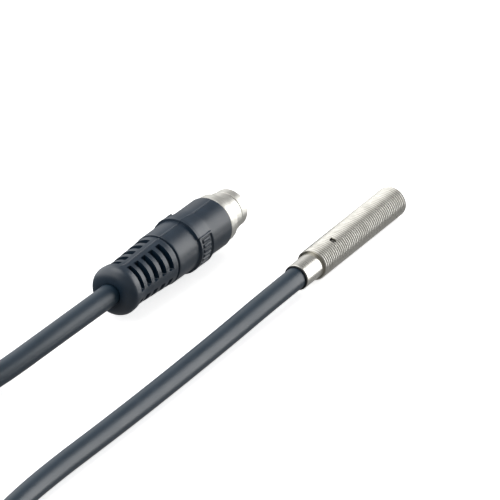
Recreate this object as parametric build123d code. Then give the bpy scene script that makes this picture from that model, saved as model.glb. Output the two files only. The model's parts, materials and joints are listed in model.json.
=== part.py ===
from build123d import *

import math
import os

# Miniature inductive proximity sensor on a pigtail with a moulded round plug.
# Millimetres. The origin is the centre of the sensing face, +X is the sensing direction
# (the barrel's axis), +Z is up, and the barrel lies on a table at TABLE_Z.

# ---------------------------------------------------------------- sensor: driving sizes
THREAD_DIAMETER = 5.0
THREAD_PITCH = 0.5
THREAD_LENGTH = 25.0
FLANK_ANGLE = 30.0
FRONT_CHAMFER = 0.2
BARREL_WALL = 0.28
SLEEVE_LENGTH = 4.7
SLEEVE_WALL = 0.17

CAP_THICKNESS = 0.6
CAP_SKIRT_WALL = 0.2
CAP_SKIRT_OVERHANG = 0.2
CORE_LENGTH = 1.9
CORE_RIM = 0.35
CORE_POST_DIAMETER = 1.3
CORE_FLOOR = 0.6
BOBBIN_WALL = 0.12
COIL_GAP = 0.1
LEAD_DIAMETER = 0.14
LEAD_SPACING = 0.8

BOARD_LENGTH = 19.6
BOARD_WIDTH = 3.0
BOARD_THICKNESS = 0.4
BOARD_GAP = 0.35
SOLDER_LENGTH = 0.9
SOLDER_WIDTH = 0.6
SOLDER_HEIGHT = 0.3
LAMP_LENGTH = 1.0
LAMP_WIDTH = 0.8
LAMP_HEIGHT = 0.45
OSCILLATOR_AT = 4.4
OSCILLATOR_SIZE = (2.4, 1.8, 0.8)
OUTPUT_CHIP_AT = 9.6
OUTPUT_CHIP_SIZE = (2.0, 1.3, 0.75)
PASSIVE_ROWS_AT = (1.2, 2.2, 6.6, 7.6, 11.6, 12.6)
PASSIVE_SIDEWAYS = 0.6
PASSIVE_SIZE = (0.5, 0.8, 0.35)

WINDOW_DIAMETER = 1.1
WINDOW_FROM_FACE = 19.8
WINDOW_ANGLE = 19.5
WINDOW_RECESS = 0.35

# ---------------------------------------------------------------- cable: driving sizes
CABLE_DIAMETER = 3.5
WIRE_DIAMETER = 0.95
WIRE_CIRCLE = 0.62
WIRE_ANGLES = {"brown": 0.0, "blue": 120.0, "black": 240.0}
STRAIGHT_AT_PLUG = 9.0
SHEATH_IN_SENSOR = 2.6
SEAL_WALL = 0.13
SEAL_LIP = 0.25
SEAL_LIP_INSET = 0.07

# ---------------------------------------------------------------- plug: driving sizes
SHELL_BORE = 5.6
SHELL_TAIL_WALL = 0.65
SHELL_RING_WALL = 0.47
SHELL_NOSE_WALL = 0.29
SHELL_FLANGE_INSET = 0.25
SHELL_FLANGE_LENGTH = 1.95
SHELL_RING_LENGTH = 2.3
SHELL_NOSE_LENGTH = 1.8
SHELL_GROOVE_WIDTH = 0.3
SHELL_GROOVE_WALL = 0.12
SHELL_TAIL_LENGTH = 3.6
SHELL_TAIL_GROOVE = 0.37
SHELL_EDGE = 0.15

BODY_WALL = 0.73
STEP_HEIGHT = 0.4
BACK_RIM_INSET = 0.15
WAIST_INSET = 0.45
RELIEF_END_INSET = 0.1
BACK_RIM_AT = 1.63
WAIST_AT = 4.4
RING_GROOVE_WIDTH = 0.3
RING_GROOVE_DEPTH = 0.3
MIDDLE_LENGTH = 5.83
STEP_LAND = 0.6
RAMP_LENGTH = 3.87
FRONT_LENGTH = 5.6
STEP_HALF_ANGLE = 53.0
BODY_EDGE = 0.25

SLOT_ROWS = 5
SLOT_COLUMNS = 4
SLOT_FIRST_AT = 3.21
SLOT_PITCH = 1.99
SLOT_WIDTH = 1.05
SLOT_SPAN = 67.0
SLOT_FLOOR_WALL = 0.6
SLOT_END_LAND = 1.2

PLATE_HALF_ANGLE = 37.0
PLATE_REAR_GAP = 0.22
PLATE_FRONT_GAP = 0.1
PLATE_HEIGHT = 0.36
PLATE_BORDER = 0.35
PLATE_RECESS = 0.15

PIN_DIAMETER = 1.0
PIN_CIRCLE = 3.2
PIN_RECESS = 1.0
PIN_NUMBERS = (1, 3, 4)
PIN_ANGLES = (-30.0, 210.0, 90.0)
PIN_TAIL_LENGTH = 1.2
CARRIER_FACE_IN_SHELL = 2.0
CARRIER_LENGTH = 4.2
KEY_WIDTH = 1.1
KEY_HEIGHT = 0.6
CORE_MOULD_INSET = 0.37
CORE_MOULD_LENGTH = 8.2
FERRULE_LENGTH = 3.2
FERRULE_WALL = 0.3
FERRULE_GAP = 1.0

# Where the plug lies: its cable exit, its heading and how far it is rolled about its axis.
PLUG_REAR = (-51.9, 19.64)
PLUG_HEADING = -2.2
PLUG_ROLL = 7.0

# ---------------------------------------------------------------- named clearance
SLIP = 0.02

# ---------------------------------------------------------------- worked-out sizes: sensor
CREST_WIDTH = THREAD_PITCH / 8
ROOT_WIDTH = THREAD_PITCH / 4
FLANK_RUN = (THREAD_PITCH - CREST_WIDTH - ROOT_WIDTH) / 2
THREAD_DEPTH = FLANK_RUN / math.tan(math.radians(FLANK_ANGLE))
BARREL_BORE = THREAD_DIAMETER - 2 * (THREAD_DEPTH + BARREL_WALL)
SLEEVE_BORE = CABLE_DIAMETER + 2 * SEAL_WALL
SLEEVE_DIAMETER = SLEEVE_BORE + 2 * SLEEVE_WALL
SENSOR_LENGTH = THREAD_LENGTH + SLEEVE_LENGTH
CORE_DIAMETER = BARREL_BORE - 4 * SLIP - 2 * CAP_SKIRT_WALL
COIL_SLOT_REAR = -CAP_THICKNESS - CORE_LENGTH + CORE_FLOOR
BOARD_FRONT = -CAP_THICKNESS - CORE_LENGTH - BOARD_GAP
BOARD_REAR = BOARD_FRONT - BOARD_LENGTH
SHEATH_END = -SENSOR_LENGTH + SHEATH_IN_SENSOR

# ---------------------------------------------------------------- worked-out sizes: plug
SHELL_TAIL_DIAMETER = SHELL_BORE + 2 * SHELL_TAIL_WALL
SHELL_RING_DIAMETER = SHELL_BORE + 2 * SHELL_RING_WALL
SHELL_NOSE_DIAMETER = SHELL_BORE + 2 * SHELL_NOSE_WALL
BODY_DIAMETER = SHELL_TAIL_DIAMETER + 2 * BODY_WALL
STEP_DIAMETER = BODY_DIAMETER + 2 * STEP_HEIGHT
PLATE_DIAMETER = BODY_DIAMETER + 2 * PLATE_HEIGHT
SHELL_FLANGE_DIAMETER = BODY_DIAMETER - 2 * SHELL_FLANGE_INSET
RELIEF_END_AT = SLOT_FIRST_AT + (SLOT_ROWS - 1) * SLOT_PITCH + SLOT_WIDTH / 2 + SLOT_END_LAND
STEP_AT = RELIEF_END_AT + MIDDLE_LENGTH
RAMP_END_AT = STEP_AT + RAMP_LENGTH
BODY_END_AT = RAMP_END_AT + FRONT_LENGTH
FLANGE_FRONT = BODY_END_AT + SHELL_FLANGE_LENGTH
RING_FRONT = FLANGE_FRONT + SHELL_RING_LENGTH
SHELL_END_AT = RING_FRONT + SHELL_NOSE_LENGTH
TAIL_REAR = BODY_END_AT - SHELL_TAIL_LENGTH
CARRIER_FRONT = BODY_END_AT + CARRIER_FACE_IN_SHELL
CARRIER_REAR = CARRIER_FRONT - CARRIER_LENGTH
CORE_MOULD_REAR = CARRIER_REAR - CORE_MOULD_LENGTH
CORE_MOULD_DIAMETER = SHELL_TAIL_DIAMETER - 2 * CORE_MOULD_INSET
FERRULE_FRONT = CORE_MOULD_REAR - FERRULE_GAP
FERRULE_REAR = FERRULE_FRONT - FERRULE_LENGTH
FERRULE_DIAMETER = CABLE_DIAMETER + 2 * FERRULE_WALL

# ---------------------------------------------------------------- worked-out places
TABLE_Z = -THREAD_DIAMETER / 2
CABLE_LOW_Z = TABLE_Z + CABLE_DIAMETER / 2
PLUG_AXIS_Z = TABLE_Z + STEP_DIAMETER / 2

# ---------------------------------------------------------------- the cable's route
# From inside the sensor's sleeve to inside the plug, points chosen by hand.
CABLE_POINTS = [
    (-38.0, 0.0, 0.0),
    (-53.0, 0.25, -0.68),
    (-80.0, 0.25, CABLE_LOW_Z),
    (-108.0, 1.0, CABLE_LOW_Z),
    (-123.7, -0.7, CABLE_LOW_Z),
    (-136.3, -0.7, CABLE_LOW_Z),
    (-146.5, 6.7, CABLE_LOW_Z),
    (-150.4, 18.7, CABLE_LOW_Z),
    (-146.5, 30.7, CABLE_LOW_Z),
    (-136.3, 38.1, CABLE_LOW_Z),
    (-123.7, 38.1, CABLE_LOW_Z),
    (-106.0, 30.6, CABLE_LOW_Z),
    (-87.0, 23.9, CABLE_LOW_Z),
]


def turned(points):
    """A turned solid about the X axis, from (x, radius) points."""
    outline = Polyline(*points, close=True)
    return revolve(make_face(outline), Axis.X)


def tube(rear, front, outer, inner=0.0):
    """A round bar or tube along X, from its end positions and its diameters."""
    length = front - rear
    middle = (rear + front) / 2
    body = Cylinder(outer / 2, length, rotation=(0, 90, 0))
    if inner:
        body -= Cylinder(inner / 2, 2 * length, rotation=(0, 90, 0))
    return Pos(middle, 0, 0) * body


def sector(rear, front, outer, inner, centre_angle, half_angle):
    """A piece of a tube along X, that spans an angle about it. Angles are from +Z towards -Y."""
    reach = outer
    wedge_face = make_face(
        Polyline(
            (0, 0),
            (reach, -reach * math.tan(math.radians(half_angle))),
            (reach, reach * math.tan(math.radians(half_angle))),
            close=True,
        )
    )
    wedge = extrude(wedge_face, front - rear)
    wedge = Pos(rear, 0, 0) * Rot(0, 90, 0) * Rot(0, 0, 180) * wedge
    ring = tube(rear, front, outer, inner)
    return Rot(centre_angle, 0, 0) * (ring & wedge)


def curved_bar(points, diameter):
    """A round bar that runs straight between points, with an arc at each corner."""
    radii = corner_radii(points)
    path = FilletPolyline(*points, radius=radii)
    start = Vector(*points[0])
    heading = Vector(*points[1]) - start
    section = Plane(origin=start, z_dir=heading) * Circle(diameter / 2)
    return sweep(section, path=path)


def corner_radii(points):
    """The largest tangent arc that each corner's shorter run allows, kept clear of the plug."""
    longest = STRAIGHT_AT_PLUG - 0.2
    radii = []
    for before, here, after in zip(points, points[1:], points[2:]):
        run_in = Vector(*here) - Vector(*before)
        run_out = Vector(*after) - Vector(*here)
        turn = math.radians(run_in.get_angle(run_out))
        shorter = min(run_in.length, run_out.length)
        radii.append(min(0.45 * shorter, longest) / math.tan(turn / 2))
    return radii


def on_circle(radius, angle):
    """The move from the X axis to a parallel one at an angle about it, from +Z towards -Y."""
    turn = math.radians(angle)
    return Pos(0, -radius * math.sin(turn), radius * math.cos(turn))


def wire_place(colour):
    """The move from the cable's axis to one of its cores."""
    return on_circle(WIRE_CIRCLE, WIRE_ANGLES[colour])


# ================================================================ sensor
def threaded_barrel():
    """Outer wall with V grooves at the thread's pitch, a smooth sleeve behind, bored through."""
    radius = THREAD_DIAMETER / 2
    root_radius = radius - THREAD_DEPTH
    profile = [(0, BARREL_BORE / 2), (0, radius - FRONT_CHAMFER), (-FRONT_CHAMFER, radius)]
    turns = int((THREAD_LENGTH - 2 * FRONT_CHAMFER) / THREAD_PITCH)
    start = -(THREAD_LENGTH - turns * THREAD_PITCH + CREST_WIDTH) / 2
    for turn in range(turns):
        x = start - turn * THREAD_PITCH
        root_x = x - FLANK_RUN
        profile += [(x, radius), (root_x, root_radius)]
        profile += [(root_x - ROOT_WIDTH, root_radius), (x - THREAD_PITCH + CREST_WIDTH, radius)]
    rear = -SENSOR_LENGTH
    profile += [
        (-THREAD_LENGTH, radius),
        (-THREAD_LENGTH, SLEEVE_DIAMETER / 2),
        (rear, SLEEVE_DIAMETER / 2),
        (rear, SLEEVE_BORE / 2),
        (-THREAD_LENGTH, SLEEVE_BORE / 2),
        (-THREAD_LENGTH, BARREL_BORE / 2),
    ]
    barrel = turned(profile)
    hole = Cylinder(
        WINDOW_DIAMETER / 2, THREAD_DIAMETER, align=(Align.CENTER, Align.CENTER, Align.MIN)
    )
    return barrel - Pos(-WINDOW_FROM_FACE, 0, 0) * Rot(WINDOW_ANGLE, 0, 0) * hole


def sensing_face_cap():
    """Plastic cup, flush with the barrel's front, with a skirt around the ferrite core."""
    outer = BARREL_BORE - 2 * SLIP
    skirt = outer - 2 * CAP_SKIRT_WALL
    rear = -CAP_THICKNESS - CORE_LENGTH - CAP_SKIRT_OVERHANG
    return tube(rear, 0, outer) - tube(rear - 1, -CAP_THICKNESS, skirt)


def ferrite_core():
    """Pot core with a centre post, open towards the sensing face."""
    front = -CAP_THICKNESS
    rear = front - CORE_LENGTH
    slot_outer = CORE_DIAMETER - 2 * CORE_RIM
    pot = tube(rear, front, CORE_DIAMETER)
    pot -= tube(rear + CORE_FLOOR, front + 1, slot_outer, CORE_POST_DIAMETER)
    for side in (-1, 1):
        lead_hole = tube(rear - 1, front, LEAD_DIAMETER + 2 * SLIP)
        pot -= Pos(0, side * LEAD_SPACING, 0) * lead_hole
    return pot


def coil_bobbin():
    """Thin plastic spool on the core's centre post."""
    rear = COIL_SLOT_REAR + SLIP
    front = -CAP_THICKNESS - SLIP
    inner = CORE_POST_DIAMETER + 2 * SLIP
    outer = CORE_DIAMETER - 2 * CORE_RIM - 2 * SLIP
    spool = tube(rear, front, inner + 2 * BOBBIN_WALL, inner)
    spool += tube(rear, rear + BOBBIN_WALL, outer, inner)
    spool += tube(front - BOBBIN_WALL, front, outer, inner)
    for side in (-1, 1):
        lead_hole = tube(rear - 1, rear + 2 * BOBBIN_WALL, LEAD_DIAMETER + 2 * SLIP)
        spool -= Pos(0, side * LEAD_SPACING, 0) * lead_hole
    return spool


def coil_winding():
    """The wound copper, as one ring between the spool's flanges."""
    rear = COIL_SLOT_REAR + 2 * SLIP + BOBBIN_WALL
    front = -CAP_THICKNESS - 2 * SLIP - BOBBIN_WALL
    inner = CORE_POST_DIAMETER + 4 * SLIP + 2 * BOBBIN_WALL
    outer = CORE_DIAMETER - 2 * CORE_RIM - 2 * COIL_GAP
    return tube(rear, front, outer, inner)


def coil_leads():
    """The two enamelled ends of the coil, from the winding to the board's front edge."""
    front = COIL_SLOT_REAR + 2 * SLIP + BOBBIN_WALL
    lead = tube(BOARD_FRONT, front, LEAD_DIAMETER)
    return Compound([Pos(0, side * LEAD_SPACING, 0) * lead for side in (-1, 1)])


def circuit_board():
    """Long narrow board on the sensor's axis, behind the coil."""
    middle = BOARD_FRONT - BOARD_LENGTH / 2
    return Pos(middle, 0, 0) * Box(BOARD_LENGTH, BOARD_WIDTH, BOARD_THICKNESS)


def on_board(behind_front, sideways, length, width, height):
    """A block standing on the board's top face."""
    x = BOARD_FRONT - behind_front
    block = Box(length, width, height, align=(Align.CENTER, Align.CENTER, Align.MIN))
    return Pos(x, sideways, BOARD_THICKNESS / 2) * block


def oscillator_chip():
    """The chip near the coil, which drives it."""
    return on_board(OSCILLATOR_AT, 0, *OSCILLATOR_SIZE)


def output_chip():
    """The chip in the middle of the board, which switches the load."""
    return on_board(OUTPUT_CHIP_AT, 0, *OUTPUT_CHIP_SIZE)


def board_passives():
    """Chip capacitors and resistors in pairs, in front of and between the chips and the lamp."""
    parts = []
    for behind in PASSIVE_ROWS_AT:
        for side in (-1, 1):
            parts.append(on_board(behind, side * PASSIVE_SIDEWAYS, *PASSIVE_SIZE))
    return Compound(parts)


def indicator_led():
    """The lamp on the board, under the window."""
    return on_board(WINDOW_FROM_FACE + BOARD_FRONT, 0, LAMP_LENGTH, LAMP_WIDTH, LAMP_HEIGHT)


def led_light_guide():
    """Clear rod in the barrel's side hole, over the lamp."""
    lamp_top = BOARD_THICKNESS / 2 + LAMP_HEIGHT
    inner = lamp_top + WINDOW_DIAMETER / 2 * math.sin(math.radians(WINDOW_ANGLE)) + 5 * SLIP
    outer = THREAD_DIAMETER / 2 - WINDOW_RECESS
    rod = Cylinder(
        WINDOW_DIAMETER / 2 - SLIP, outer - inner, align=(Align.CENTER, Align.CENTER, Align.MIN)
    )
    rod = Rot(WINDOW_ANGLE, 0, 0) * Pos(0, 0, inner) * rod
    return Pos(-WINDOW_FROM_FACE, 0, 0) * rod


def solder_joints():
    """One bead for each core at the board's rear edge: brown on top, blue and black below."""
    beads = []
    for colour, angle in WIRE_ANGLES.items():
        sideways = -WIRE_CIRCLE * math.sin(math.radians(angle))
        behind = BOARD_LENGTH - SOLDER_LENGTH / 2
        bead = on_board(behind, sideways, SOLDER_LENGTH, SOLDER_WIDTH, SOLDER_HEIGHT)
        if colour != "brown":
            bead = mirror(bead, Plane.XY)
        beads.append(bead)
    return Compound(beads)


def sensor_wire(colour):
    """A core from the cable's sheath end to the board's rear edge."""
    return wire_place(colour) * tube(SHEATH_END, BOARD_REAR, WIRE_DIAMETER)


def rear_potting():
    """Resin between the board and the sheath, around the three cores."""
    front = BOARD_REAR - BOARD_GAP
    rear = SHEATH_END
    resin = tube(-THREAD_LENGTH, front, BARREL_BORE) + tube(rear, -THREAD_LENGTH, SLEEVE_BORE)
    for colour in WIRE_ANGLES:
        resin -= wire_place(colour) * tube(rear - 1, front + 1, WIRE_DIAMETER)
    return resin


def cable_seal():
    """Black ring that closes the gap between sleeve and sheath, with a lip on the sleeve's end."""
    rear = -SENSOR_LENGTH - SEAL_LIP
    lip_radius = SLEEVE_DIAMETER / 2 - SEAL_LIP_INSET
    return turned(
        [
            (SHEATH_END, CABLE_DIAMETER / 2),
            (SHEATH_END, SLEEVE_BORE / 2),
            (-SENSOR_LENGTH, SLEEVE_BORE / 2),
            (-SENSOR_LENGTH, lip_radius),
            (rear, lip_radius),
            (rear, CABLE_DIAMETER / 2),
        ]
    )


# ================================================================ plug, along its own X axis
def body_profile():
    """The grip's outline from the cable exit to its front edge, as (x, radius)."""
    exit_radius = CABLE_DIAMETER / 2
    body = BODY_DIAMETER / 2
    rim = body - BACK_RIM_INSET
    relief_end = body - RELIEF_END_INSET
    groove_front = RELIEF_END_AT + RING_GROOVE_WIDTH
    dome = []
    for turn in (20, 40, 60, 80):
        x = BACK_RIM_AT * (1 - math.cos(math.radians(turn)))
        dome.append((x, exit_radius + (rim - exit_radius) * math.sin(math.radians(turn))))
    return [
        (0, exit_radius),
        *dome,
        (BACK_RIM_AT, rim),
        (WAIST_AT, body - WAIST_INSET),
        (RELIEF_END_AT, relief_end),
        (RELIEF_END_AT, relief_end - RING_GROOVE_DEPTH),
        (groove_front, relief_end - RING_GROOVE_DEPTH),
        (groove_front, body),
        (BODY_END_AT - BODY_EDGE, body),
        (BODY_END_AT, body - BODY_EDGE),
    ]


def plug_grip():
    """Soft moulding around the cable end, the hard core and the shell's tail."""
    grip = turned(body_profile() + [(BODY_END_AT, 0), (0, 0)])
    grip = with_steps(grip)
    grip = with_plates(grip)
    grip = with_slots(grip)
    grip -= tube(-1, FERRULE_REAR, CABLE_DIAMETER)
    grip -= tube(FERRULE_REAR, FERRULE_FRONT, FERRULE_DIAMETER)
    for colour in WIRE_ANGLES:
        grip -= wire_place(colour) * tube(FERRULE_FRONT, CORE_MOULD_REAR, WIRE_DIAMETER)
    grip -= tube(CORE_MOULD_REAR, TAIL_REAR, CORE_MOULD_DIAMETER)
    return grip - tail_outline(BODY_END_AT + 1)


def with_steps(grip):
    """Adds the raised ramps, on the top and the bottom."""
    ramp_ring = turned(
        [
            (STEP_AT, 0),
            (STEP_AT, STEP_DIAMETER / 2),
            (STEP_AT + STEP_LAND, STEP_DIAMETER / 2),
            (RAMP_END_AT, BODY_DIAMETER / 2),
            (RAMP_END_AT, 0),
        ]
    )
    for centre in (0, 180):
        grip += ramp_ring & sector(STEP_AT, RAMP_END_AT, STEP_DIAMETER, 0, centre, STEP_HALF_ANGLE)
    return grip


def with_plates(grip):
    """Adds the label plates on the two sides, each with a border around a shallow panel."""
    rear = STEP_AT + PLATE_REAR_GAP
    front = RAMP_END_AT - PLATE_FRONT_GAP
    panel = PLATE_DIAMETER - 2 * PLATE_RECESS
    panel_half_angle = PLATE_HALF_ANGLE - math.degrees(2 * PLATE_BORDER / PLATE_DIAMETER)
    root = BODY_DIAMETER - BODY_WALL
    for centre in (90, 270):
        grip += sector(rear, front, PLATE_DIAMETER, root, centre, PLATE_HALF_ANGLE)
        grip -= sector(
            rear + PLATE_BORDER, front - PLATE_BORDER, PLATE_DIAMETER + 1, panel,
            centre, panel_half_angle,
        )
    return grip


def with_slots(grip):
    """Cuts the bend relief's rows of slots, which leave ribs on the top, bottom and sides."""
    floor = CABLE_DIAMETER + 2 * SLOT_FLOOR_WALL
    for row in range(SLOT_ROWS):
        rear = SLOT_FIRST_AT + row * SLOT_PITCH - SLOT_WIDTH / 2
        for column in range(SLOT_COLUMNS):
            centre = (column + 0.5) * 360 / SLOT_COLUMNS
            grip -= sector(rear, rear + SLOT_WIDTH, BODY_DIAMETER + 1, floor, centre, SLOT_SPAN / 2)
    return grip


def crimp_ferrule():
    """Metal sleeve crimped on the sheath's end, so that the moulding takes the pull."""
    return tube(FERRULE_REAR, FERRULE_FRONT, FERRULE_DIAMETER, CABLE_DIAMETER)


def tail_outline(front):
    """The shell's tail inside the moulding, with a groove that anchors it."""
    radius = SHELL_TAIL_DIAMETER / 2
    groove_rear = TAIL_REAR + SHELL_TAIL_LENGTH / 3
    groove_front = TAIL_REAR + 2 * SHELL_TAIL_LENGTH / 3
    return turned(
        [
            (TAIL_REAR, 0),
            (TAIL_REAR, radius),
            (groove_rear, radius),
            (groove_rear, radius - SHELL_TAIL_GROOVE),
            (groove_front, radius - SHELL_TAIL_GROOVE),
            (groove_front, radius),
            (front, radius),
            (front, 0),
        ]
    )


def plug_shell():
    """Turned metal shell: tail, flange, latching ring, thin groove, nose, bored through."""
    flange = SHELL_FLANGE_DIAMETER / 2
    ring = SHELL_RING_DIAMETER / 2
    nose = SHELL_NOSE_DIAMETER / 2
    groove_floor = SHELL_BORE / 2 + SHELL_GROOVE_WALL
    shell = tail_outline(BODY_END_AT) + turned(
        [
            (BODY_END_AT, 0),
            (BODY_END_AT, flange - SHELL_EDGE),
            (BODY_END_AT + SHELL_EDGE, flange),
            (FLANGE_FRONT - SHELL_EDGE, flange),
            (FLANGE_FRONT, flange - SHELL_EDGE),
            (FLANGE_FRONT, groove_floor),
            (FLANGE_FRONT + SHELL_GROOVE_WIDTH, groove_floor),
            (FLANGE_FRONT + SHELL_GROOVE_WIDTH, ring),
            (RING_FRONT, ring),
            (RING_FRONT, groove_floor),
            (RING_FRONT + SHELL_GROOVE_WIDTH, groove_floor),
            (RING_FRONT + SHELL_GROOVE_WIDTH, nose),
            (SHELL_END_AT - SHELL_EDGE, nose),
            (SHELL_END_AT, nose - SHELL_EDGE),
            (SHELL_END_AT, 0),
        ]
    )
    return shell - tube(TAIL_REAR - 1, SHELL_END_AT + 1, SHELL_BORE)


def plug_core():
    """Hard inner moulding behind the shell, around the rear ends of the contacts."""
    rear = CORE_MOULD_REAR
    core = tube(rear, TAIL_REAR, CORE_MOULD_DIAMETER) + tube(TAIL_REAR, CARRIER_REAR, SHELL_BORE)
    for angle in PIN_ANGLES:
        hole = tube(rear + PIN_TAIL_LENGTH, CARRIER_FRONT, PIN_DIAMETER)
        core -= on_circle(PIN_CIRCLE / 2, angle) * hole
    for colour in WIRE_ANGLES:
        core -= wire_place(colour) * tube(rear - 1, rear + PIN_TAIL_LENGTH, WIRE_DIAMETER)
    return core


def contact_carrier():
    """Insulator inside the shell, with a key rib on its front face."""
    carrier = tube(CARRIER_REAR, CARRIER_FRONT, SHELL_BORE)
    key_length = SHELL_END_AT - PIN_RECESS - CARRIER_FRONT
    key = Box(key_length, KEY_WIDTH, 2 * KEY_HEIGHT, align=(Align.MIN, Align.CENTER, Align.CENTER))
    key = Pos(CARRIER_FRONT, 0, -SHELL_BORE / 2) * key
    carrier += key & tube(CARRIER_FRONT, SHELL_END_AT, SHELL_BORE - 2 * SLIP)
    for angle in PIN_ANGLES:
        hole = tube(CARRIER_REAR - 1, SHELL_END_AT, PIN_DIAMETER)
        carrier -= on_circle(PIN_CIRCLE / 2, angle) * hole
    return carrier


def contact_pin(angle):
    """Round contact with a domed tip, from the core moulding to just inside the shell's mouth."""
    rear = CORE_MOULD_REAR + PIN_TAIL_LENGTH
    tip = SHELL_END_AT - PIN_RECESS
    radius = PIN_DIAMETER / 2
    pin = turned(
        [
            (rear, 0),
            (rear, radius),
            (tip - radius, radius),
            (tip - radius / 2, radius * 0.87),
            (tip, radius / 2),
            (tip, 0),
        ]
    )
    return on_circle(PIN_CIRCLE / 2, angle) * pin


def plug_wire(colour):
    """A core from the sheath's end to the core moulding."""
    front = CORE_MOULD_REAR + PIN_TAIL_LENGTH
    return wire_place(colour) * tube(FERRULE_FRONT, front, WIRE_DIAMETER)


def place_plug(shape):
    """Moves a plug piece from the plug's own axis to where the plug lies."""
    place = Pos(PLUG_REAR[0], PLUG_REAR[1], PLUG_AXIS_Z)
    return place * Rot(0, 0, PLUG_HEADING) * Rot(PLUG_ROLL, 0, 0) * shape


def in_plug(x):
    """A point on the plug's axis, x forward of its cable exit."""
    heading = math.radians(PLUG_HEADING)
    return (
        PLUG_REAR[0] + x * math.cos(heading),
        PLUG_REAR[1] + x * math.sin(heading),
        PLUG_AXIS_Z,
    )


def cable():
    """The sheathed cable: straight runs joined by tangent arcs, along the table."""
    plug_end = [in_plug(-STRAIGHT_AT_PLUG), in_plug(FERRULE_FRONT)]
    points = [(SHEATH_END, 0, 0)] + CABLE_POINTS + plug_end
    radii = corner_radii(points)
    body = curved_bar(points, CABLE_DIAMETER)
    length = FilletPolyline(*points, radius=radii).length
    section = math.pi * CABLE_DIAMETER**2 / 4
    print("cable radii", [round(radius, 1) for radius in radii])
    ratio = body.volume / section / length
    print("cable length", round(length, 1), "volume ratio", round(ratio, 4))
    return body


def export(name, shape):
    """Writes one named piece as its own STEP file."""
    shape.label = name
    export_step(shape, f"parts/{name}.step")


os.makedirs("parts", exist_ok=True)

export("threaded_barrel", threaded_barrel())
export("sensing_face_cap", sensing_face_cap())
export("ferrite_core", ferrite_core())
export("coil_bobbin", coil_bobbin())
export("coil_winding", coil_winding())
export("coil_leads", coil_leads())
export("circuit_board", circuit_board())
export("oscillator_chip", oscillator_chip())
export("output_chip", output_chip())
export("board_passives", board_passives())
export("indicator_led", indicator_led())
export("led_light_guide", led_light_guide())
export("solder_joints", solder_joints())
export("rear_potting", rear_potting())
export("cable_seal", cable_seal())
for wire_colour in WIRE_ANGLES:
    export(f"wire_{wire_colour}", sensor_wire(wire_colour))
    export(f"plug_wire_{wire_colour}", place_plug(plug_wire(wire_colour)))

export("cable", cable())

export("plug_grip", place_plug(plug_grip()))
export("crimp_ferrule", place_plug(crimp_ferrule()))
export("plug_core", place_plug(plug_core()))
export("contact_carrier", place_plug(contact_carrier()))
export("plug_shell", place_plug(plug_shell()))
for pin_number, pin_angle in zip(PIN_NUMBERS, PIN_ANGLES):
    export(f"contact_pin_{pin_number}", place_plug(contact_pin(pin_angle)))
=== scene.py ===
"""Looks of a miniature threaded proximity sensor on a pigtail with a moulded round plug.

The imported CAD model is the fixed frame. The pieces here replace its outer shapes with finer ones in the same
places, dress every node that stays, and add the cable, the floor, the lights and the camera.
"""

import json
import logging
import math
from collections.abc import Mapping, Sequence
from dataclasses import dataclass, field
from enum import Enum

import bmesh
import bpy
import numpy as np
from bpy.types import ID, Material, Mesh, Node, NodeSocket, NodeTree, Object
from mathutils import Matrix, Vector


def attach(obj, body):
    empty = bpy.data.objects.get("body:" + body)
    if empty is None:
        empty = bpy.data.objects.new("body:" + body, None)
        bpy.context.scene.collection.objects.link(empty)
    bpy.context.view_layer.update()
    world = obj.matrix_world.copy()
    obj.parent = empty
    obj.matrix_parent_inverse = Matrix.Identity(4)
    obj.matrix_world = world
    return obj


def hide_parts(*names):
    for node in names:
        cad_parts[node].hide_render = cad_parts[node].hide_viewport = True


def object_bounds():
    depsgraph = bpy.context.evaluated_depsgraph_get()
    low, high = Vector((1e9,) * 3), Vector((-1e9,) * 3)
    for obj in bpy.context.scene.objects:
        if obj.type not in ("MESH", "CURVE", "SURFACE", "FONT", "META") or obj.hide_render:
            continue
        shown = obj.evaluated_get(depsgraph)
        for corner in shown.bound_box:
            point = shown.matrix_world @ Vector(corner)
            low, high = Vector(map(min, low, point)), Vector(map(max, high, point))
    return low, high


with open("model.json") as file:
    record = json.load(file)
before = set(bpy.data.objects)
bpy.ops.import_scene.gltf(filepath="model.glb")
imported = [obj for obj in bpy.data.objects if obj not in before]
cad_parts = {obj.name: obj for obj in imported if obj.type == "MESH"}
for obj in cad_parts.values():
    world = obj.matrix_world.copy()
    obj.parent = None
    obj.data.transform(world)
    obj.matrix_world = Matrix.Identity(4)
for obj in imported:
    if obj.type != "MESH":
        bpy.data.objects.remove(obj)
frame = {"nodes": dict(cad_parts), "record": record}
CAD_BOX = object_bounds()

LOG = logging.getLogger("sensor")
MM = 0.001
HOLD = 0.04  # room between a rounding and the line that keeps the surface beside it flat, in millimetres

Colour = tuple[float, float, float]
Corner = tuple[float, float, float]
Value = NodeSocket | float | Sequence[float]
Inputs = Mapping[str | int, Value]


class Core(Enum):
    """The insulated cores in the cable, by the colour of their insulation."""

    BROWN = "brown"
    BLUE = "blue"
    BLACK = "black"


class Shading(Enum):
    """How far two faces turn, in degrees, before the edge between them is drawn sharp."""

    MOULDED = 58.0
    TURNED = 32.0


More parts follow.
